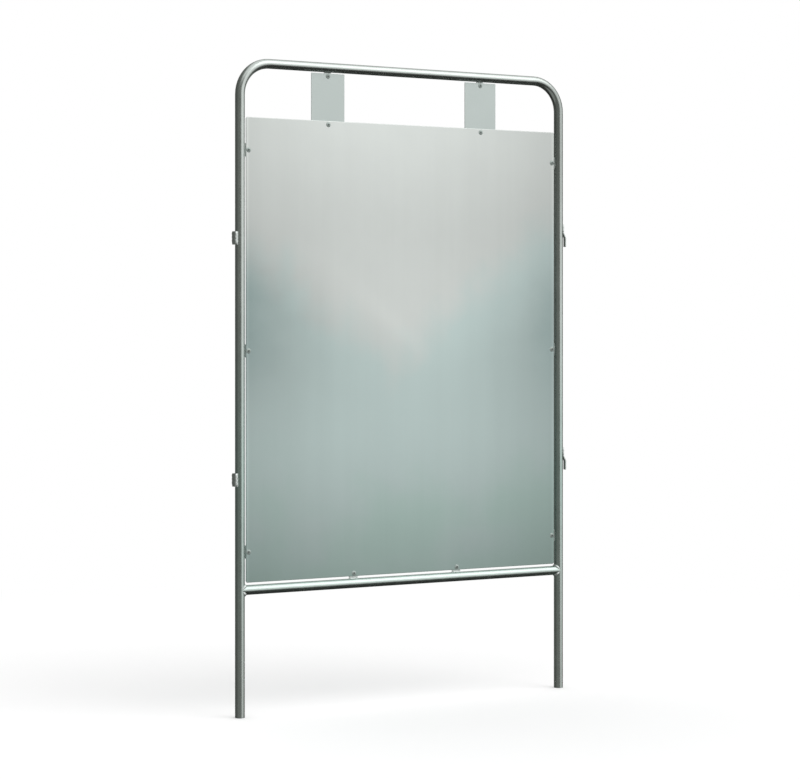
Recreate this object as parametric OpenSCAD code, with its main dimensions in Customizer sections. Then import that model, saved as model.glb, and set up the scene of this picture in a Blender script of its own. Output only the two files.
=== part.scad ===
/* [Frame] */
// Overall height of the board
frame_h = 2000; // [1600:10:2400]
// Overall width over the two uprights
frame_w = 1200; // [900:10:1500]
// Outside diameter of the frame tube
tube_d = 30; // [25:0.5:40]
// Wall of the frame tube
tube_wall = 2; // [1.5:0.5:3]
// Radius of the two top bends, on the tube's axis
bend_r = 98; // [80:1:200]
// Clear height of the legs below the crossbar
leg_clear = 370; // [250:5:500]
// Vent hole drilled in each upright inside the crossbar's joint
vent_d = 10; // [6:1:14]
// How far each saddle's thin tips are trimmed back
saddle_trim = 3; // [2:0.5:5]

/* [Panel] */
// Thickness of the sheet
sheet_t = 1.5; // [1:0.25:2]
// Width of the hem folded flat behind each edge
hem_w = 26; // [20:1:40]
// Length of folded edge left out at each corner
corner_relief = 4; // [2:0.5:8]
// Gap between the mitred ends of two hems
mitre_gap = 1; // [0.5:0.5:3]
// Gap between the sheet and each upright
side_gap = 4; // [3:0.5:8]
// Gap between the sheet and the crossbar
foot_gap = 7; // [4:0.5:15]
// Open height between the top rail and the sheet
header_gap = 150; // [100:5:250]

/* [Lugs] */
// Thickness of the welded lugs
lug_t = 3; // [2:0.5:5]
// Height of a side lug
side_lug_h = 40; // [25:1:60]
// Metal left in a lug past its rivet
lug_margin = 9; // [7:0.5:15]
// Radius of the lugs' free corners
lug_corner_r = 5; // [3:0.5:8]
// Height of the lowest side rivets above the sheet's bottom edge
side_low = 93; // [60:1:250]
// Distance from the sheet's top edge down to the highest side rivets
side_high = 100; // [60:1:250]
// Width of a bottom lug
bottom_lug_w = 30; // [25:1:60]
// Distance of each bottom lug from the middle
bottom_lug_x = 189; // [100:1:400]
// Width of a lug under the top rail
rail_lug_w = 24; // [22:1:50]

/* [Hanger plates] */
// Width of a hanger plate
plate_w = 117; // [60:1:160]
// Thickness of a hanger plate
plate_t = 2; // [1.5:0.5:4]
// Distance of each hanger plate from the middle
plate_x = 280; // [120:1:320]
// Gap between a plate and the top rail
plate_gap = 3; // [2:0.5:8]
// Metal left in a plate below its lower rivet
plate_margin = 10.5; // [8:0.5:30]
// Radius of the plates' corners
plate_corner_r = 2; // [1:0.5:6]
// Distance from a plate's top edge to its upper rivet
plate_rivet_drop = 8.5; // [8.5:0.5:20]

/* [Rivets] */
// Diameter of the rivet shank
rivet_d = 6.4; // [4.8:0.1:6.5]
// Diameter of the rivet's flange
flange_d = 16; // [12:0.5:16]
// Height of the rivet's flange
flange_h = 1.6; // [1.5:0.1:3]
// Diameter of the mandrel's stem
mandrel_d = 3.6; // [2:0.1:3.8]
// Width of the recess at the mandrel's broken end
recess_d = 6; // [4:0.1:6.4]
// Depth of the recess
recess_h = 1.1; // [0.8:0.1:1.4]
// Play of the shank in its holes, on the diameter
hole_play = 0.2; // [0.1:0.1:0.6]
// Distance from the sheet's side and bottom edges to the rivets
edge_dist = 9; // [8.5:0.5:14]
// Distance from the sheet's top edge to the plate rivets
top_edge_dist = 11.5; // [10:0.5:14]
// Length of the tail behind the last sheet
tail_h = 5; // [4:0.5:8]
// Diameter of the set tail
tail_d = 9.6; // [8.5:0.1:12]

/* [Links] */
// Thickness of the hook bar and the keeper strap
strap_t = 3; // [2:0.5:4]
// Height of a keeper
keeper_h = 40; // [25:1:60]
// Width of a keeper over its two arms
keeper_w = 20; // [18:0.5:26]
// Slot between a keeper's web and the tube
slot_depth = 5; // [4.5:0.5:8]
// Inside radius of the keeper's bends
keeper_bend_r = 2; // [1:0.5:4]
// Top of the upper keeper above the ground
keeper_top_upper = 1472; // [1200:1:1700]
// Top of the lower keeper above the ground
keeper_top_lower = 740; // [500:1:1000]
// Play of a hook in a keeper, on each side
link_play = 1; // [0.5:0.25:2]
// Gap between a tube and the neighbour's keeper
link_gap = 5.5; // [4:0.5:8]
// Height of a hook's shoulder above the keeper top that it drops over
hook_lift = 2; // [1:0.5:6]
// Length of the hook's tongue
tongue_h = 28; // [20:1:36]
// Height of the hook's crank
crank_h = 21; // [19:1:35]
// Length of the hook's welded end
hook_weld_h = 24; // [15:1:40]
// Inside radius of the hook's bends
hook_bend_r = 4; // [2:0.5:6]
// Chamfer on the tip of the tongue
tip_chamfer = 1; // [0.5:0.1:1.2]
// Leg of the weld fillets
weld_leg = 2.5; // [1.5:0.5:4]

/* [Hidden] */
$fn = 64;

// Room that a cut runs past the face it opens
cut = 1;
tube_r = tube_d / 2;
axis_x = frame_w / 2 - tube_r;
rail_z = frame_h - tube_r;
crossbar_z = leg_clear + tube_r;

// The sheet's corners, and its layers from front to back
panel_w = 2 * (axis_x - tube_r - side_gap);
panel_bottom = crossbar_z + tube_r + foot_gap;
panel_top = rail_z - tube_r - header_gap;
panel_h = panel_top - panel_bottom;
hem_t = 2 * sheet_t;
panel_front = -hem_t;
panel_back = 0;

// Rivet places
side_rivet_x = panel_w / 2 - edge_dist;
side_pitch = (panel_h - side_low - side_high) / 2;
side_rivet_z = [for (i = [0:2]) panel_bottom + side_low + i * side_pitch];
bottom_rivet_z = panel_bottom + edge_dist;
plate_top = rail_z - tube_r - plate_gap;
plate_rivet_z = plate_top - plate_rivet_drop;
panel_top_rivet_z = panel_top - top_edge_dist;
hole_d = rivet_d + hole_play;

// The link: slot in the keeper, tongue of the hook, and their reach from a tube's axis
keeper_reach = tube_r + slot_depth + strap_t;
tongue_play = (slot_depth - strap_t) / 2;
tongue_in = tube_r + link_gap + strap_t + tongue_play;
crank_out = tongue_in - tube_r;
hook_w = keeper_w - 2 * strap_t - 2 * link_play;
bend_mid_r = hook_bend_r + strap_t / 2;
crank_a = crank_angle(crank_h, crank_out, bend_mid_r);
// Steps in which each of the hook's bends is drawn
bend_steps = 8;

// Slope of the crank between two bends of one radius, for its rise h and its set-off s
function crank_angle(h, s, r) = 2 * atan(s / (h + sqrt(h * h - s * (4 * r - s))));

// Steel tube, or the space inside it, along the arch of the frame
module arch(d, extra) {
    leg_h = rail_z - bend_r;
    for (side = [-1, 1]) {
        translate([side * axis_x, 0, -extra])
            cylinder(d = d, h = leg_h + extra);
        translate([side * (axis_x - bend_r), 0, leg_h])
            rotate([90, 0, 0])
                mirror([side < 0 ? 1 : 0, 0, 0])
                    rotate_extrude(angle = 90)
                        translate([bend_r, 0])
                            circle(d = d);
    }
    translate([-(axis_x - bend_r), 0, rail_z])
        rotate([0, 90, 0])
            cylinder(d = d, h = 2 * (axis_x - bend_r));
}

// The two uprights as plain rods, to cut saddles with
module upright_rods(d) {
    for (side = [-1, 1])
        translate([side * axis_x, 0, 0])
            cylinder(d = d, h = frame_h);
}

module frame_tube() {
    color("darkgray")
        difference() {
            arch(tube_d, 0);
            arch(tube_d - 2 * tube_wall, cut);
            translate([-axis_x, 0, crossbar_z])
                rotate([0, 90, 0])
                    cylinder(d = vent_d, h = 2 * axis_x);
        }
}

module crossbar() {
    bar_l = 2 * (axis_x - saddle_trim);
    color("darkgray")
        difference() {
            translate([-bar_l / 2, 0, crossbar_z])
                rotate([0, 90, 0])
                    cylinder(d = tube_d, h = bar_l);
            translate([-bar_l / 2 - cut, 0, crossbar_z])
                rotate([0, 90, 0])
                    cylinder(d = tube_d - 2 * tube_wall, h = bar_l + 2 * cut);
            upright_rods(tube_d);
        }
}

// Round bar through the thickness of the sheets at one rivet place
module rivet_hole(x, z) {
    translate([x, panel_front - cut, z])
        rotate([-90, 0, 0])
            cylinder(d = hole_d, h = hem_t + plate_t + lug_t + 2 * cut);
}

// Every rivet hole of the board
module rivet_holes() {
    for (side = [-1, 1]) {
        for (z = side_rivet_z)
            rivet_hole(side * side_rivet_x, z);
        rivet_hole(side * bottom_lug_x, bottom_rivet_z);
        rivet_hole(side * plate_x, panel_top_rivet_z);
        rivet_hole(side * plate_x, plate_rivet_z);
    }
}

// One folded edge of length l: the rounded fold and the mitred lip behind the sheet,
// with the edge along +X, the sheet's inside towards +Z and its back at Y = 0
module hem(l) {
    translate([corner_relief, -sheet_t, sheet_t])
        rotate([0, 90, 0])
            intersection() {
                cylinder(r = sheet_t, h = l - 2 * corner_relief);
                translate([0, -sheet_t, 0])
                    cube([sheet_t, hem_t, l - 2 * corner_relief]);
            }
    rotate([90, 0, 0])
        linear_extrude(sheet_t)
            polygon([
                [corner_relief, sheet_t],
                [l - corner_relief, sheet_t],
                [l - hem_w - mitre_gap, hem_w],
                [hem_w + mitre_gap, hem_w]
            ]);
}

module panel_sheet() {
    color("silver")
        difference() {
            union() {
                translate([-panel_w / 2 + sheet_t, panel_front, panel_bottom + sheet_t])
                    cube([panel_w - 2 * sheet_t, sheet_t, panel_h - 2 * sheet_t]);
                translate([-panel_w / 2, 0, panel_bottom])
                    hem(panel_w);
                translate([panel_w / 2, 0, panel_top])
                    rotate([0, 180, 0])
                        hem(panel_w);
                translate([-panel_w / 2, 0, panel_top])
                    rotate([0, 90, 0])
                        hem(panel_h);
                translate([panel_w / 2, 0, panel_bottom])
                    rotate([0, -90, 0])
                        hem(panel_h);
            }
            rivet_holes();
        }
}

// Flat plate in the XZ plane with its front at y and four round corners
module round_plate(x, z, w, h, y, t, r) {
    translate([x, y + t, z])
        rotate([90, 0, 0])
            linear_extrude(t)
                union() {
                    translate([r, 0])
                        square([w - 2 * r, h]);
                    translate([0, r])
                        square([w, h - 2 * r]);
                    for (cx = [r, w - r])
                        for (cz = [r, h - r])
                            translate([cx, cz])
                                circle(r = r);
                }
}

module hanger_plate(side) {
    low = panel_top_rivet_z - plate_margin;
    color("lightgray")
        difference() {
            round_plate(side * plate_x - plate_w / 2, low, plate_w, plate_top - low,
                panel_back, plate_t, plate_corner_r);
            rivet_holes();
        }
}

// Lug under the top rail, behind the hanger plate, hollowed to sit on the tube
module rail_lug(side) {
    low = plate_rivet_z - lug_margin;
    color("gray")
        difference() {
            round_plate(side * plate_x - rail_lug_w / 2, low, rail_lug_w, rail_z - low,
                panel_back + plate_t, lug_t, lug_corner_r);
            translate([side * plate_x - rail_lug_w, 0, rail_z])
                rotate([0, 90, 0])
                    cylinder(d = tube_d, h = 2 * rail_lug_w);
            rivet_holes();
        }
}

// Lug on an upright, behind the sheet's hem, at rivet number i from the bottom
module side_lug(side, i) {
    reach = tube_r + side_gap + edge_dist + lug_margin;
    left = side < 0 ? -axis_x : axis_x - reach;
    color("gray")
        difference() {
            round_plate(left, side_rivet_z[i] - side_lug_h / 2, reach, side_lug_h,
                panel_back, lug_t, lug_corner_r);
            upright_rods(tube_d);
            rivet_holes();
        }
}

// Lug on the crossbar, behind the sheet's lower hem
module bottom_lug(side) {
    color("gray")
        difference() {
            round_plate(side * bottom_lug_x - bottom_lug_w / 2, crossbar_z, bottom_lug_w,
                tube_r + foot_gap + edge_dist + lug_margin, panel_back, lug_t, lug_corner_r);
            translate([side * bottom_lug_x - bottom_lug_w, 0, crossbar_z])
                rotate([0, 90, 0])
                    cylinder(d = tube_d, h = 2 * bottom_lug_w);
            rivet_holes();
        }
}

// Outline of the keeper's strap seen from above, filled in, with its web at -X
module keeper_outline(w, reach, r) {
    translate([-reach, -w / 2 + r])
        square([reach, w - 2 * r]);
    translate([-reach + r, -w / 2])
        square([reach - r, w]);
    for (side = [-1, 1])
        translate([-reach + r, side * (w / 2 - r)])
            circle(r = r);
}

module keeper(top) {
    color("darkgray")
        difference() {
            translate([-axis_x, 0, top - keeper_h])
                linear_extrude(keeper_h)
                    keeper_outline(keeper_w, keeper_reach, keeper_bend_r + strap_t);
            translate([-axis_x, 0, top - keeper_h - cut])
                linear_extrude(keeper_h + 2 * cut)
                    keeper_outline(keeper_w - 2 * strap_t, keeper_reach - strap_t, keeper_bend_r);
            upright_rods(tube_d);
        }
}

// Points of an arc round the centre c, from one angle to another
function arc_points(c, r, from, to) = [
    for (i = [0:bend_steps])
        c + r * [cos(from + (to - from) * i / bend_steps), sin(from + (to - from) * i / bend_steps)]
];

// Side view of the hook's bar, with the tip of the tongue's middle at the origin: up the
// outer side over the two bends, then down the side that faces the tube
function hook_points() =
    let (half = strap_t / 2)
    let (low_bend = [-bend_mid_r, tongue_h])
    let (high_bend = [bend_mid_r - crank_out, tongue_h + crank_h])
    let (top = tongue_h + crank_h + hook_weld_h)
    concat(
        [[half - tip_chamfer, 0], [half, tip_chamfer]],
        arc_points(low_bend, hook_bend_r + strap_t, 0, crank_a),
        arc_points(high_bend, hook_bend_r, 180 + crank_a, 180),
        [[half - crank_out, top], [-half - crank_out, top]],
        arc_points(high_bend, hook_bend_r + strap_t, 180, 180 + crank_a),
        arc_points(low_bend, hook_bend_r, crank_a, 0),
        [[-half, tip_chamfer], [tip_chamfer - half, 0]]
    );

// The hook's bar from the tongue's tip upwards: tongue, crank towards the tube, welded end
module hook_bar() {
    rotate([90, 0, 0])
        linear_extrude(hook_w, center = true)
            polygon(hook_points());
}

// Weld fillets along both edges of the hook's welded end
module hook_weld(z) {
    rise = min(weld_leg, strap_t);
    translate([axis_x, 0, z])
        linear_extrude(hook_weld_h)
            polygon([
                [tube_r - weld_leg, -hook_w / 2 - weld_leg],
                [tube_r + rise, -hook_w / 2],
                [tube_r + rise, hook_w / 2],
                [tube_r - weld_leg, hook_w / 2 + weld_leg]
            ]);
}

module hook(keeper_top) {
    shoulder = keeper_top + hook_lift;
    color("darkgray")
        difference() {
            union() {
                translate([axis_x + tongue_in + strap_t / 2, 0, shoulder - tongue_h])
                    hook_bar();
                hook_weld(shoulder + crank_h);
            }
            upright_rods(tube_d);
        }
}

// Blind rivet with its head's seat at the origin, through sheets as thick as its grip
module rivet(grip) {
    dome_r = (flange_d * flange_d / 4 + flange_h * flange_h) / (2 * flange_h);
    slope_h = (tail_d - rivet_d) / 2;
    rotate([-90, 0, 0])
        difference() {
            union() {
                intersection() {
                    translate([0, 0, dome_r - flange_h])
                        sphere(r = dome_r);
                    translate([0, 0, -flange_h - cut])
                        cylinder(d = flange_d + 2 * cut, h = flange_h + cut);
                }
                cylinder(d = rivet_d, h = grip);
                translate([0, 0, grip])
                    cylinder(d = tail_d, h = tail_h - slope_h);
                translate([0, 0, grip + tail_h - slope_h])
                    cylinder(d1 = tail_d, d2 = rivet_d, h = slope_h);
            }
            translate([0, 0, -flange_h - cut])
                cylinder(d = mandrel_d, h = flange_h + grip + tail_h + 2 * cut);
            translate([0, 0, -flange_h - cut])
                cylinder(d = recess_d, h = cut + recess_h);
        }
}

// The mandrel left in a set rivet: its broken stem, and its head drawn against the tail
module mandrel(grip) {
    stem_end = flange_h - recess_h;
    head_h = mandrel_d / 2;
    rotate([-90, 0, 0]) {
        translate([0, 0, -stem_end])
            cylinder(d = mandrel_d, h = stem_end + grip + tail_h);
        translate([0, 0, grip + tail_h])
            cylinder(d1 = rivet_d, d2 = mandrel_d, h = head_h);
    }
}

// The places of the side rivets, three on each upright
module side_places() {
    for (side = [-1, 1])
        for (z = side_rivet_z)
            translate([side * side_rivet_x, panel_front, z])
                children();
}

// Two places on one level, at the same distance from the middle
module pair_places(x, y, z) {
    for (side = [-1, 1])
        translate([side * x, y, z])
            children();
}

module side_rivets() {
    color("whitesmoke")
        side_places()
            rivet(hem_t + lug_t);
}

module hanger_rivets() {
    color("whitesmoke")
        pair_places(plate_x, panel_back, plate_rivet_z)
            rivet(plate_t + lug_t);
}

module panel_top_rivets() {
    color("whitesmoke")
        pair_places(plate_x, panel_front, panel_top_rivet_z)
            rivet(hem_t + plate_t);
}

module bottom_rivets() {
    color("whitesmoke")
        pair_places(bottom_lug_x, panel_front, bottom_rivet_z)
            rivet(hem_t + lug_t);
}

module side_mandrels() {
    color("dimgray")
        side_places()
            mandrel(hem_t + lug_t);
}

module hanger_mandrels() {
    color("dimgray")
        pair_places(plate_x, panel_back, plate_rivet_z)
            mandrel(plate_t + lug_t);
}

module panel_top_mandrels() {
    color("dimgray")
        pair_places(plate_x, panel_front, panel_top_rivet_z)
            mandrel(hem_t + plate_t);
}

module bottom_mandrels() {
    color("dimgray")
        pair_places(bottom_lug_x, panel_front, bottom_rivet_z)
            mandrel(hem_t + lug_t);
}

frame_tube();
crossbar();
panel_sheet();
hanger_plate(-1);  // hanger_plate_left
hanger_plate(1);  // hanger_plate_right
rail_lug(-1);  // rail_lug_left
rail_lug(1);  // rail_lug_right
side_lug(-1, 2);  // side_lug_left_top
side_lug(-1, 1);  // side_lug_left_middle
side_lug(-1, 0);  // side_lug_left_bottom
side_lug(1, 2);  // side_lug_right_top
side_lug(1, 1);  // side_lug_right_middle
side_lug(1, 0);  // side_lug_right_bottom
bottom_lug(-1);  // bottom_lug_left
bottom_lug(1);  // bottom_lug_right
keeper(keeper_top_upper);  // keeper_upper
keeper(keeper_top_lower);  // keeper_lower
hook(keeper_top_upper);  // hook_upper
hook(keeper_top_lower);  // hook_lower
side_rivets();
hanger_rivets();
panel_top_rivets();
bottom_rivets();
side_mandrels();
hanger_mandrels();
panel_top_mandrels();
bottom_mandrels();
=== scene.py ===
import math

import bmesh
import bpy
from mathutils import Matrix, Vector


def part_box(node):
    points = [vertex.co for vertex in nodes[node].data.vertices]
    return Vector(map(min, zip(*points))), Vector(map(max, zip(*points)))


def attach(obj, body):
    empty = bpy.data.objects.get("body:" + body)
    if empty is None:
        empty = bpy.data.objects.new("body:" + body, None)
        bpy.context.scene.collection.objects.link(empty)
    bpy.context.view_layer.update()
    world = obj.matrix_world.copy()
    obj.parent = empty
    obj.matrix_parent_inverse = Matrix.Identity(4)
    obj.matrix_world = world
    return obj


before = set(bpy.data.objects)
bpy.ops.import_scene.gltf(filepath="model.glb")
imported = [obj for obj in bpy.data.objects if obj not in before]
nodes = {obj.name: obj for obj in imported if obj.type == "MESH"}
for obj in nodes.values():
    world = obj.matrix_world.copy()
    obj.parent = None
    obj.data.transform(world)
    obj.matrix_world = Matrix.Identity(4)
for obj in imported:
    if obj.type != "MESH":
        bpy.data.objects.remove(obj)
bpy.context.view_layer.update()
scene = bpy.context.scene


# The camera stands in front of the board and to its left, level, at a grown person's chest
# height. Its picture is 800 by 779 pixels, and the horizon lies above the middle. The focal
# length and the rise of the horizon are given in those pixels.
picture_w = 800
focal_length = 2347.8
horizon_rise = 61.8
sensor_w = 36
turn = math.radians(30.84)
view_ahead = Vector((math.sin(turn), math.cos(turn), 0))
view_right = Vector((math.cos(turn), -math.sin(turn), 0))
eye_h = 1.1805
eye_distance = 7.4088
eye_shift = -0.0175
camera_data = bpy.data.cameras.new("camera")
camera_data.sensor_width = sensor_w
camera_data.lens = focal_length * sensor_w / picture_w
camera_data.shift_y = -horizon_rise / picture_w
camera = bpy.data.objects.new("camera", camera_data)
camera.location = view_right * eye_shift - view_ahead * eye_distance + Vector((0, 0, eye_h))
camera.rotation_euler = (math.radians(90), 0, -turn)
scene.collection.objects.link(camera)
scene.camera = camera


# The frame tube is one length of 30 mm steel tube, bent into an arch whose ends are the
# legs. It is galvanised, so its zinc is satin, a little cloudy and finely rippled. It has
# weathered slightly green between knee and hip height. High on the right upright its colour
# is darker, a painted shade where that upright mirrors less light.
class Wire:
    """One output in a node tree, with arithmetic that adds the tree's Math nodes."""

    def __init__(self, tree, socket=None):
        self.tree = tree
        self.socket = socket

    def node(self, kind, inputs=(), output=0, **settings):
        """Adds a node, sets it up, feeds its sockets and gives one of its outputs."""
        made = self.tree.nodes.new(kind)
        for name, value in settings.items():
            setattr(made, name, value)
        for key, value in dict(inputs).items():
            entry = made.inputs[key]
            if isinstance(value, Wire):
                self.tree.links.new(value.socket, entry)
            elif entry.type == "RGBA":
                entry.default_value = (*value, 1)
            else:
                entry.default_value = value
        return Wire(self.tree, made.outputs[output]) if made.outputs else None

    def math(self, operation, first, second=0.0):
        return self.node("ShaderNodeMath", {0: first, 1: second}, operation=operation)

    def __add__(self, other):
        return self.math("ADD", self, other)

    __radd__ = __add__

    def __sub__(self, other):
        return self.math("SUBTRACT", self, other)

    def __rsub__(self, other):
        return self.math("SUBTRACT", other, self)

    def __mul__(self, other):
        return self.math("MULTIPLY", self, other)

    __rmul__ = __mul__

    def __truediv__(self, other):
        return self.math("DIVIDE", self, other)

    def __abs__(self):
        return self.math("ABSOLUTE", self)

    def root(self):
        return self.math("SQRT", self)

    def least(self, other):
        return self.math("MINIMUM", self, other)

    def most(self, other):
        return self.math("MAXIMUM", self, other)

    def bell(self, middle, spread):
        """One at the middle, falling off smoothly on both sides."""
        away = (self - middle) / spread
        return self.math("EXPONENT", away * away * -1.0)

    def ramp(self, low, high, start=0.0, end=1.0):
        """Goes smoothly from start to end as the value passes from low to high."""
        return self.node("ShaderNodeMapRange", {0: self, 1: low, 2: high, 3: start, 4: end},
                         interpolation_type="SMOOTHSTEP")

    def part(self, axis):
        """The x, y or z of a place, asked for as 0, 1 or 2."""
        return self.node("ShaderNodeSeparateXYZ", {0: self}, output=axis)

    def mix(self, first, second):
        """Blends two colours by this value."""
        return self.node("ShaderNodeMix", {0: self, 6: first, 7: second}, output=2,
                         data_type="RGBA")

    def scaled(self, colour):
        """A colour with every channel times this value."""
        spread = self.node("ShaderNodeCombineXYZ", {0: self, 1: self, 2: self})
        return self.node("ShaderNodeVectorMath", {0: colour, 1: spread}, operation="MULTIPLY")


def rgb(red, green, blue):
    """A colour written as it shows on screen, 0 to 255, as the shader's linear one."""
    linear = []
    for part in (red, green, blue):
        part = part / 255
        linear.append(part / 12.92 if part <= 0.04045 else ((part + 0.055) / 1.055) ** 2.4)
    return tuple(linear)


def new_finish(name):
    """A material with an empty tree, and the place on the piece as a vector."""
    material = bpy.data.materials.new(name)
    material.use_nodes = True
    material.node_tree.nodes.clear()
    place = Wire(material.node_tree).node("ShaderNodeTexCoord", output="Object")
    return material, place


def noise(place, per_metre, detail, stretch=(1, 1, 1)):
    """Cloudy noise around 0, so many lumps to the metre, drawn out where stretch is small."""
    placed = place.node("ShaderNodeMapping", {"Vector": place, "Scale": stretch})
    return place.node("ShaderNodeTexNoise", {
        "Vector": placed, "Scale": per_metre, "Detail": detail}) - 0.5


def finish_metal(material, place, colour, roughness, height, depth):
    """Closes a finish: its colour, its sheen, and its bumps, whose depth is in metres."""
    bump = place.node("ShaderNodeBump", {"Height": height, "Distance": depth, "Strength": 1.0})
    shader = place.node("ShaderNodeBsdfPrincipled", {
        "Base Color": colour, "Metallic": 1.0, "Roughness": roughness, "Normal": bump})
    place.node("ShaderNodeOutputMaterial", {"Surface": shader})
    return material


def dress(name, material):
    """Gives a CAD node its finish."""
    slots = nodes[name].data.materials
    slots.clear()
    slots.append(material)


bare_zinc = rgb(197, 204, 200)
weathered_zinc = rgb(188, 206, 200)
weathered_z = 0.70
weathered_spread = 0.35
right_shade_x = (0.45, 0.57)
right_shade_z = (1.30, 1.75)
right_shading = 0.22


def galvanised_tube():
    material, place = new_finish("galvanised_tube")
    x = place.part(0)
    z = place.part(2)
    clouds = noise(place, per_metre=22, detail=4)
    ripples = noise(place, per_metre=110, detail=2)
    grain = noise(place, per_metre=900, detail=2)
    # High on the right upright the colour is darkened by painted shade.
    right_shade = x.ramp(*right_shade_x) * z.ramp(*right_shade_z)
    tone = (1 + clouds * 0.24 + grain * 0.08) * (1 - right_shade * right_shading)
    zinc = z.bell(weathered_z, weathered_spread).mix(bare_zinc, weathered_zinc)
    roughness = 0.25 + clouds * 0.12 + ripples * 0.06
    height = clouds + ripples * 0.3
    return finish_metal(material, place, tone.scaled(zinc), roughness, height, depth=0.0002)


tube_zinc = galvanised_tube()
dress("frame_tube", tube_zinc)


# The crossbar is a second length of the same tube, cut to a saddle at both ends and welded
# between the uprights under the sheet, before the frame was dipped.
dress("crossbar", tube_zinc)


# The fittings are the lugs, keepers and hooks, cut from 3 mm steel bar and welded on before
# the frame was dipped, so their zinc is thicker and duller than the tube's.
fitting_grey = rgb(214, 220, 217)


def galvanised_fitting():
    material, place = new_finish("galvanised_fitting")
    clouds = noise(place, per_metre=60, detail=3)
    lumps = noise(place, per_metre=260, detail=2)
    colour = (1 + clouds * 0.16 + lumps * 0.08).scaled(fitting_grey)
    roughness = 0.38 + clouds * 0.12
    height = clouds * 0.4 + lumps * 0.3
    return finish_metal(material, place, colour, roughness, height, depth=0.0004)


fitting_zinc = galvanised_fitting()
for name in nodes:
    if "lug" in name or name.startswith(("keeper", "hook")):
        dress(name, fitting_zinc)


# The two hanger plates hold the sheet under the top rail. They are cut from plain
# galvanised sheet, 2 mm thick, and left flat and dull.
plate_grey = rgb(199, 208, 205)


def plate_finish():
    material, place = new_finish("plate_zinc")
    clouds = noise(place, per_metre=14, detail=3)
    grain = noise(place, per_metre=500, detail=2)
    colour = (1 + clouds * 0.08 + grain * 0.05).scaled(plate_grey)
    roughness = 0.46 + clouds * 0.12
    height = clouds * 0.3 + grain * 0.1
    return finish_metal(material, place, colour, roughness, height, depth=0.0003)


plate_zinc = plate_finish()
for side in ("left", "right"):
    dress("hanger_plate_" + side, plate_zinc)


# The panel is one sheet of galvanised steel with its four edges folded flat behind it. Its
# colour is pale and grey in a funnel at the top, teal round it, greener at the foot, and a
# little paler along its side folds. This is partly the zinc's own tone and partly painted
# reflection of the surroundings, and the paler folds are a painted highlight.
grey_zinc_and_reflection = (0.952, 1.0, 0.966)
pale_teal_zinc = (0.832, 1.0, 0.972)
deep_teal_zinc = (0.762, 1.0, 0.975)
green_zinc = (0.772, 1.0, 0.928)
sheet_half_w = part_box("panel_sheet")[1][0]
fold_from_edge = (0.003, 0.014)
fold_highlight_gain = 1.15
foot_z = (0.20, 0.90)
green_z = (0.35, 0.80)
waist_z = 1.2
waist_spread = 0.2
top_z = (1.45, 1.85)
funnel_x = -0.06
funnel_z = (0.94, 1.18)
funnel_slope = 0.75
wing_x = 0.05
wing_tip_z = 1.21
wing_slope = 1.64
wing_rounding = 0.004
wings_z = 1.48
wings_spread = 0.325
flare_slant = 1.1
flare_along = 1.27
flare_half_w = 0.05
flare_z = 1.20
flare_spread = 0.10


def panel_finish():
    """The sheet's zinc tone and painted reflection. Its places are in metres from the board's
    middle and the ground.
    """
    material, place = new_finish("panel_zinc")
    x = place.part(0)
    z = place.part(2)
    patches = noise(place, per_metre=2.6, detail=2)
    clouds = noise(place, per_metre=8, detail=4)
    streaks = noise(place, per_metre=45, detail=3, stretch=(1, 1, 0.02))
    broad_streaks = noise(place, per_metre=11, detail=2, stretch=(1, 1, 0.06))
    grain = noise(place, per_metre=700, detail=2)

    # The sheet is lighter towards its top and its middle, partly zinc tone and partly painted
    # reflection.
    rising = z.ramp(*foot_z, start=0.40, end=0.64)
    rising = rising + z.bell(waist_z, waist_spread) * 0.044 + z.ramp(*top_z) * 0.085
    from_middle = (x - funnel_x) / sheet_half_w

    # Two darker wings lie beside the funnel, and a faint flare slants across the sheet, both
    # partly painted reflection.
    beside = ((x - wing_x) * (x - wing_x) + wing_rounding).root()
    wing = (beside - (z - wing_tip_z) * wing_slope + clouds * 0.20).most(0.0)
    wings = wing * wing * z.bell(wings_z, wings_spread) * 1.95
    flare = (x + z * flare_slant).bell(flare_along, flare_half_w)
    flare = flare * z.bell(flare_z, flare_spread) * 0.03

    light = rising * (1 - from_middle * from_middle * 0.18) * (1 - wings) + flare
    light = light * (1 + clouds * 0.08 + broad_streaks * 0.07 + patches * 0.04)
    # Near its side folds the sheet is paler, a painted highlight.
    light = light * (sheet_half_w - abs(x)).ramp(*fold_from_edge, start=fold_highlight_gain, end=1.0)

    # The funnel's edge is ragged, and so is the height at which the sheet turns green. The pale
    # funnel is partly painted reflection.
    ragged = clouds * 0.22 + patches * 0.16 + broad_streaks * 0.10
    funnel = (z - abs(x - funnel_x) * funnel_slope + ragged).ramp(*funnel_z)
    teal = light.ramp(0.30, 0.50).mix(deep_teal_zinc, pale_teal_zinc)
    low_hue = (z + patches * 1.5 + clouds * 0.5).ramp(*green_z).mix(green_zinc, teal)
    colour = (light * (1 + streaks * 0.04 + grain * 0.04)).scaled(funnel.mix(low_hue, grey_zinc_and_reflection))
    roughness = 0.32 + streaks * 0.06 + clouds * 0.06
    height = patches * 1.5 + clouds * 0.5 + streaks * 0.08
    return finish_metal(material, place, colour, roughness, height, depth=0.0004)


dress("panel_sheet", panel_finish())


# Blind rivets of plain aluminium hold the sheet and the plates to the lugs. Each head is a
# low dome with a recess in its middle round the broken mandrel, darkened there by painted
# shade.
rivet_grey = rgb(190, 200, 196)
flange_r = 0.008
recess_r = 0.0026
recess_shade_edge_r = 0.0038
recess_shade = 0.55
rivet_rows = {"side": 3, "hanger": 1, "panel_top": 1, "bottom": 1}


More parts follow.
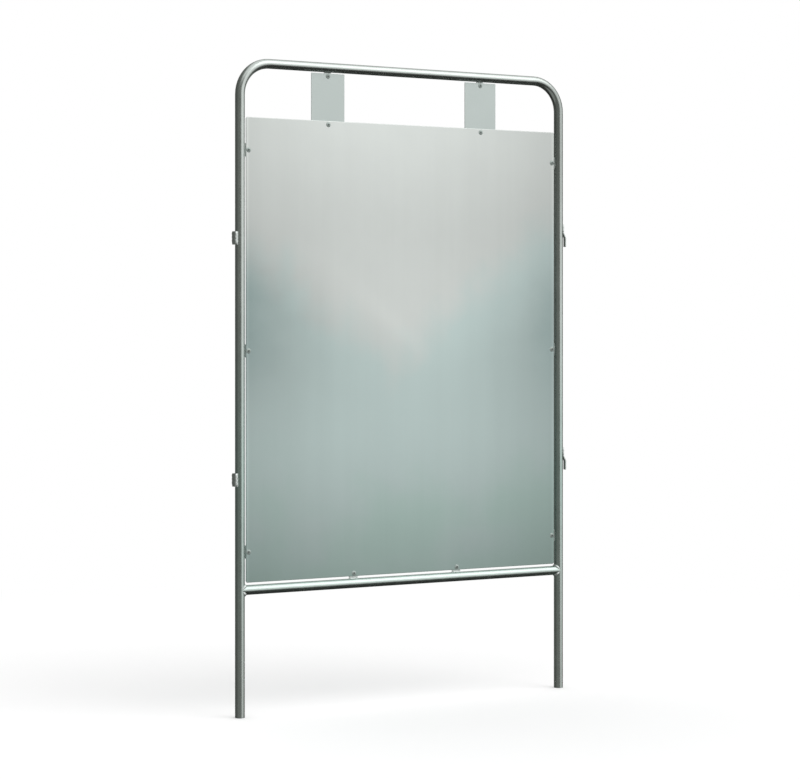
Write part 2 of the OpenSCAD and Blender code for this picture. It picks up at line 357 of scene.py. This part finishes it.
def rivet_finish(name, rows):
    """The finish of one group of rivets, two in each row, rows evenly spaced from low to high."""
    low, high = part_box(name)
    side_x = high[0] - flange_r
    first_z = low[2] + flange_r
    row_pitch = (high[2] - low[2] - 2 * flange_r) / max(rows - 1, 1)
    material, place = new_finish("rivet_aluminium_" + name)
    z = place.part(2)
    aside = abs(place.part(0)) - side_x
    height_off = abs(z - first_z)
    for row in range(1, rows):
        height_off = height_off.least(abs(z - (first_z + row * row_pitch)))
    from_axis = (aside * aside + height_off * height_off).root()
    # Painted shade darkens each head towards its recess.
    recess_shading = from_axis.ramp(recess_r, recess_shade_edge_r, start=recess_shade, end=1.0)
    grain = noise(place, per_metre=800, detail=2)
    colour = (recess_shading * (1 + grain * 0.12)).scaled(rivet_grey)
    return finish_metal(material, place, colour, 0.62 + grain * 0.1, grain, depth=0.0001)


for group, rows in rivet_rows.items():
    dress(group + "_rivets", rivet_finish(group + "_rivets", rows))


# The mandrel is the steel pin that drew each rivet tight. It broke off inside the head as
# the rivet was set, and its end is dull. Its dark grey is partly the steel's own and partly
# painted shade of the recess it sits in.
mandrel_and_shade_grey = rgb(112, 118, 115)


def mandrel_finish():
    material, place = new_finish("mandrel_steel")
    grain = noise(place, per_metre=1500, detail=2)
    colour = (1 + grain * 0.4).scaled(mandrel_and_shade_grey)
    return finish_metal(material, place, colour, 0.5 + grain * 0.2, grain, depth=0.0003)


mandrel_steel = mandrel_finish()
for group in rivet_rows:
    dress(group + "_mandrels", mandrel_steel)


# Welds join the crossbar, lugs, keepers and hooks to the tube. A long one is a low rounded
# bead with the ripples of the torch, a short one a lobe, and all were dipped with the frame.
weld_grey = rgb(228, 233, 231)
ring_sides = 16
bead_step = 0.0009
bead_tip = 0.1
ripple_pitch = 0.0036
ripple_height = 0.03


def weld_finish():
    material, place = new_finish("weld_zinc")
    lumps = noise(place, per_metre=300, detail=2)
    colour = (1 + lumps * 0.12).scaled(weld_grey)
    return finish_metal(material, place, colour, 0.44 + lumps * 0.1, lumps, depth=0.0003)


weld_zinc = weld_finish()


def run_bead(shape, path, radius):
    """Runs a rippled bead along a path of close points, with round tips."""
    rings = []
    run = 0.0
    total = sum((b - a).length for a, b in zip(path, path[1:]))
    for index, point in enumerate(path):
        along = path[min(index + 1, len(path) - 1)] - path[max(index - 1, 0)]
        if index:
            run += (point - path[index - 1]).length
        to_end = min(run, total - run) / radius
        size = radius * (1 + ripple_height * math.sin(2 * math.pi * run / ripple_pitch))
        size *= math.sqrt(max(1 - max(1 - to_end, 0) ** 2, bead_tip ** 2))
        placed = Matrix.Translation(point) @ along.to_track_quat("Z", "Y").to_matrix().to_4x4()
        made = bmesh.ops.create_circle(shape, segments=ring_sides, radius=size, matrix=placed)
        rings.append(list({edge for vert in made["verts"] for edge in vert.link_edges}))
    for ring, next_ring in zip(rings, rings[1:]):
        bmesh.ops.bridge_loops(shape, edges=ring + next_ring)
    bmesh.ops.holes_fill(shape, edges=rings[0] + rings[-1])


def straight_path(start, end):
    """Close points from start to end, for a bead with round tips."""
    start, end = Vector(start), Vector(end)
    count = max(int((end - start).length / bead_step), 4)
    return [start.lerp(end, i / count) for i in range(count + 1)]


def add_lobe(shape, centre, half_sizes):
    """Adds a short weld, an egg-shaped lobe."""
    placed = Matrix.Translation(centre) @ Matrix.Diagonal((*half_sizes, 1))
    bmesh.ops.create_uvsphere(shape, u_segments=20, v_segments=14, radius=1.0, matrix=placed)


def weld_piece(name, shape):
    """Closes a group of welds as one piece that rides with the frame."""
    bmesh.ops.recalc_face_normals(shape, faces=shape.faces)
    for face in shape.faces:
        face.smooth = True
    mesh = bpy.data.meshes.new(name)
    shape.to_mesh(mesh)
    shape.free()
    mesh.materials.append(weld_zinc)
    piece = bpy.data.objects.new(name, mesh)
    scene.collection.objects.link(piece)
    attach(piece, "root")


# The saddle welds run round the crossbar's ends, where the two tubes meet in a curve: one
# bead over the top and one under the bottom of each end. Towards the front and the back
# they stay within the tube's thickness.
tube_r = 0.015
tube_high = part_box("frame_tube")[1]
upright_x = tube_high[0] - tube_r
rail_z = tube_high[2] - tube_r
bar_low, bar_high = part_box("crossbar")
bar_z = (bar_low[2] + bar_high[2]) / 2
saddle_bead_r = 0.0060
saddle_sink = 0.0014
saddle_steps = 60
tip_angle = 9
bead_reach = tube_high[1] - saddle_bead_r * (1 + ripple_height)

shape = bmesh.new()
for side in (-1, 1):
    for up in (-1, 1):
        path = []
        for step in range(saddle_steps + 1):
            angle = math.radians(tip_angle + (180 - 2 * tip_angle) * step / saddle_steps)
            bead_y = max(-bead_reach, min(bead_reach, tube_r * math.cos(angle)))
            off_axis = tube_r * math.sin(angle) - saddle_sink
            path.append(Vector((side * (upright_x - off_axis), bead_y, bar_z + up * off_axis)))
        run_bead(shape, path, saddle_bead_r)
weld_piece("saddle_welds", shape)


# Each side lug is welded to the upright by a thin bead down each of its faces, in the
# corner that it makes with the tube. The bead stops just short of the lug's ends.
lug_bead_r = 0.0019
lug_bead_inset = 0.002

shape = bmesh.new()
for name in nodes:
    if name.startswith("side_lug"):
        low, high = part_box(name)
        side = -1 if high[0] < 0 else 1
        for y in (low[1], high[1]):
            bead_x = side * (upright_x - math.sqrt(tube_r * tube_r - y * y))
            start = (bead_x, y, low[2] + lug_bead_inset)
            end = (bead_x, y, high[2] - lug_bead_inset)
            run_bead(shape, straight_path(start, end), lug_bead_r)
weld_piece("side_lug_welds", shape)


# The lugs under the rail and on top of the crossbar are welded in the same way, by a bead
# along each face in the corner that it makes with the tube.
shape = bmesh.new()
for name in nodes:
    if name.startswith(("rail_lug", "bottom_lug")):
        low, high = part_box(name)
        for y in (low[1], high[1]):
            off_axis = math.sqrt(tube_r * tube_r - y * y)
            bead_z = bar_z + off_axis if name.startswith("bottom") else rail_z - off_axis
            start = (low[0] + lug_bead_inset, y, bead_z)
            end = (high[0] - lug_bead_inset, y, bead_z)
            run_bead(shape, straight_path(start, end), lug_bead_r)
weld_piece("rail_and_bar_lug_welds", shape)


# Each keeper is welded to the upright down the outside of both its arms, in lobes that run
# into each other and stay clear of the slot for the next board's hook.
keeper_lobe = (0.0050, 0.0024, 0.0068)
keeper_lobes = 6
keeper_weld_depth = 0.006
keeper_lobe_off = 0.0004
lobe_sway = 0.0004

shape = bmesh.new()
for name in ("keeper_upper", "keeper_lower"):
    low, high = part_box(name)
    first_z = low[2] + keeper_lobe[2]
    lobe_pitch = (high[2] - keeper_lobe[2] - first_z) / (keeper_lobes - 1)
    for y in (low[1] - keeper_lobe_off, high[1] + keeper_lobe_off):
        for index in range(keeper_lobes):
            lobe_x = low[0] + keeper_weld_depth + lobe_sway * (-1) ** index
            add_lobe(shape, (lobe_x, y, first_z + index * lobe_pitch), keeper_lobe)
weld_piece("keeper_welds", shape)


# Each hook is a bent flat bar, welded to the upright down both edges of its upper end. The
# welds are lobes again, sunk into the corner between the bar and the tube.
hook_lobe = (0.0038, 0.0028, 0.0054)
hook_lobes = 4
hook_weld_l = 0.025
hook_half_w = 0.006
hook_lobe_off = 0.001
hook_lobe_sink = 0.0013

shape = bmesh.new()
for name in ("hook_upper", "hook_lower"):
    first_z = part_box(name)[1][2] - hook_weld_l + hook_lobe[2]
    lobe_pitch = (hook_weld_l - 2 * hook_lobe[2]) / (hook_lobes - 1)
    for y in (-hook_half_w - hook_lobe_off, hook_half_w + hook_lobe_off):
        for index in range(hook_lobes):
            lobe_x = upright_x + tube_r - hook_lobe_sink + lobe_sway * (-1) ** index
            add_lobe(shape, (lobe_x, y, first_z + index * lobe_pitch), hook_lobe)
weld_piece("hook_welds", shape)


# The studio is white all round. Bright metal mirrors what stands about it, so it alone sees
# open-air surroundings: a pale sky, dim and slightly green land that is paler low in front
# and behind the board, and a large soft light on the right.
softbox_turn = math.radians(72)
softbox_side = view_right * math.sin(softbox_turn) - view_ahead * math.cos(softbox_turn)
dim_green = (0.965, 1.0, 0.94)
white_tint = (1, 1, 1)
ground_level = 0.38
behind_level = 0.58


def ray_kinds(start):
    """Whether a ray comes from the camera, off a bright surface or through a clear one."""
    kinds = ("Is Camera Ray", "Is Glossy Ray", "Is Transmission Ray")
    return [start.node("ShaderNodeLightPath", output=kind) for kind in kinds]


def studio_world():
    world = bpy.data.worlds.new("studio")
    world.use_nodes = True
    world.node_tree.nodes.clear()
    start = Wire(world.node_tree)
    direction = start.node("ShaderNodeTexCoord", output="Generated")

    def towards(vector):
        """How nearly a direction points along the vector: 1 along it, -1 away from it."""
        return start.node("ShaderNodeVectorMath", {0: direction, 1: vector},
                          operation="DOT_PRODUCT", output="Value")

    up = towards((0, 0, 1))
    right = towards(view_right)
    ahead = towards(view_ahead)
    softbox = (towards(softbox_side) + up * 0.4).ramp(0.78, 0.92)
    bright = up.ramp(-0.60, 0.05, start=0.03, end=1.04)
    dim = right.ramp(-1.0, -0.5, start=0.11, end=0.20) * up.ramp(-0.6, -0.2, start=0.2, end=1.0)
    sky = (up + ahead.most(0.0) * 0.3).ramp(0.25, 0.70) * right.ramp(-0.55, -0.05)
    sky = sky * ahead.ramp(0.40, 0.65, start=1.0, end=0.45)
    pale_ground = up.ramp(-0.60, -0.25, start=ground_level, end=0.0)
    pale_ground = pale_ground * ahead.ramp(-0.42, -0.22, start=1.0, end=0.0)
    pale_ground = pale_ground * right.ramp(0.25, 0.45, start=1.0, end=0.0)
    pale_behind = ahead.ramp(0.80, 0.93) * up.ramp(-0.50, -0.25) * behind_level
    open_air = sky.most(pale_ground).most(pale_behind)
    surroundings = dim.most(open_air) * (1 - softbox) + bright * softbox

    camera_ray, glossy_ray, through_ray = ray_kinds(start)
    behind_board = ahead.ramp(0.96, 0.99)
    white = camera_ray.most(through_ray).most(glossy_ray * behind_board)
    seen = glossy_ray * surroundings + (1 - glossy_ray)
    strength = white + (1 - white) * seen
    tint = (glossy_ray * (1 - softbox) * (1 - open_air)).mix(white_tint, dim_green)
    light = start.node("ShaderNodeBackground", {"Color": tint, "Strength": strength})
    start.node("ShaderNodeOutputWorld", {"Surface": light})
    world.cycles.sampling_method = "NONE"
    return world


scene.world = studio_world()


# One lamp stands high in front of the board on its right. It is broad and weak, because the
# white studio already lights the board from all sides.
key_data = bpy.data.lights.new("key", "SUN")
key_data.energy = 0.5
key_data.angle = math.radians(50)
key = bpy.data.objects.new("key", key_data)
key_from = Vector((0.45, -0.6, 0.62))
key.rotation_euler = key_from.to_track_quat("Z", "Y").to_euler()
scene.collection.objects.link(key)


# The floor is a pale matt disc just under the feet, which takes the board's shadow. Further
# out it passes into the studio's white, and the metal doesn't mirror it.
floor_r = 6
floor_z = -0.0005
floor_paint = (0.97, 0.97, 0.97)
paint_end_r = 1.2
white_start_r = 3.5


def floor_finish():
    material, place = new_finish("floor")
    camera_ray, glossy_ray, through_ray = ray_kinds(place)
    away = place.node("ShaderNodeVectorMath", {0: place}, operation="LENGTH", output="Value")
    white = away.ramp(paint_end_r, white_start_r) * camera_ray.most(glossy_ray).most(through_ray)
    paint = place.node("ShaderNodeBsdfDiffuse", {"Color": floor_paint})
    glow = place.node("ShaderNodeEmission", {"Strength": 1.0})
    mixed = place.node("ShaderNodeMixShader", {0: white, 1: paint, 2: glow})
    place.node("ShaderNodeOutputMaterial", {"Surface": mixed})
    return material


disc = bmesh.new()
bmesh.ops.create_circle(disc, cap_ends=True, segments=96, radius=floor_r)
bmesh.ops.translate(disc, verts=disc.verts, vec=(0, 0, floor_z))
floor_mesh = bpy.data.meshes.new("floor")
disc.to_mesh(floor_mesh)
disc.free()
floor_mesh.materials.append(floor_finish())
floor = bpy.data.objects.new("floor", floor_mesh)
floor.visible_glossy = False
scene.collection.objects.link(floor)


scene.view_settings.view_transform = "Standard"

bpy.context.view_layer.update()
